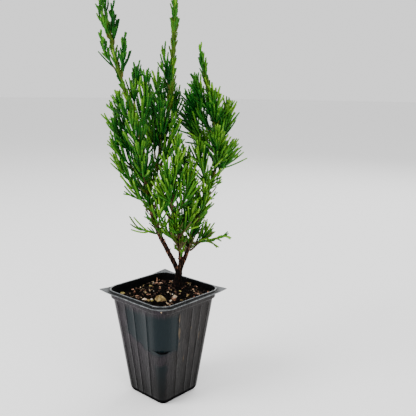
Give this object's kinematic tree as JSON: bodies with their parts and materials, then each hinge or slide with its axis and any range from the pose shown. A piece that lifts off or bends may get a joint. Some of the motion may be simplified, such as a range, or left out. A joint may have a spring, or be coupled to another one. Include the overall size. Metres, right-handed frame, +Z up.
{
  "type": "potted hollywood juniper",
  "caption": "Young upright juniper with twisting stems and plumes of cord-like scale foliage, standing in a square tapered plastic nursery pot filled with bark mix.",
  "frame": {"origin": "centre of the pot's flat underside", "axes": "+Z up along the pot's axis; the pot's four sides face +X, -X, +Y and -Y; the crown spreads along a line turned 42 degrees from +X towards +Y, with its tallest stem towards -X and -Y"},
  "size_m": [0.0987, 0.1308, 0.4051],
  "materials": {
    "pot": "thin black thermoformed plastic, satin sheen with fine vertical streaks",
    "potting_mix": "damp dark bark mix with tan and red-brown chips and white perlite",
    "bark": "rough reddish-brown bark, nearly black near the foot, olive on young wood",
    "foliage": "matte scale leaves on thin cords, deep green inside and bright green at the tips"
  },
  "bodies": {
    "root": {"pot": "pot", "potting_mix": "potting_mix", "trunk": "bark", "left_stem": "bark", "front_stem": "bark", "right_stem": "bark", "inner_stem": "bark", "left_stem_plume_1": "foliage", "left_stem_plume_2": "foliage", "left_stem_plume_3": "foliage", "left_stem_plume_4": "foliage", "left_stem_plume_5": "foliage", "left_stem_plume_6": "foliage", "left_stem_plume_7": "foliage", "left_stem_plume_8": "foliage", "left_stem_plume_9": "foliage", "left_stem_plume_10": "foliage", "left_stem_plume_11": "foliage", "left_stem_plume_12": "foliage", "left_stem_plume_13": "foliage", "left_stem_plume_14": "foliage", "left_stem_plume_15": "foliage", "left_stem_plume_16": "foliage", "left_stem_plume_17": "foliage", "left_stem_plume_18": "foliage", "left_stem_plume_19": "foliage", "left_stem_plume_20": "foliage", "left_stem_plume_21": "foliage", "inner_stem_plume_1": "foliage", "inner_stem_plume_2": "foliage", "inner_stem_plume_3": "foliage", "inner_stem_plume_4": "foliage", "inner_stem_plume_5": "foliage", "inner_stem_plume_6": "foliage", "inner_stem_plume_7": "foliage", "inner_stem_plume_8": "foliage", "inner_stem_plume_9": "foliage", "front_stem_plume_1": "foliage", "front_stem_plume_2": "foliage", "front_stem_plume_3": "foliage", "front_stem_plume_4": "foliage", "front_stem_plume_5": "foliage", "front_stem_plume_6": "foliage", "front_stem_plume_7": "foliage", "right_stem_plume_1": "foliage", "right_stem_plume_2": "foliage", "right_stem_plume_3": "foliage", "right_stem_plume_4": "foliage", "right_stem_plume_5": "foliage", "right_stem_plume_6": "foliage", "right_stem_plume_7": "foliage", "right_stem_plume_8": "foliage", "right_stem_plume_9": "foliage", "right_stem_plume_10": "foliage", "right_stem_plume_11": "foliage", "right_stem_plume_12": "foliage", "right_stem_plume_13": "foliage", "right_stem_plume_14": "foliage", "right_stem_plume_15": "foliage", "right_stem_plume_16": "foliage"}
  },
  "joints": []
}
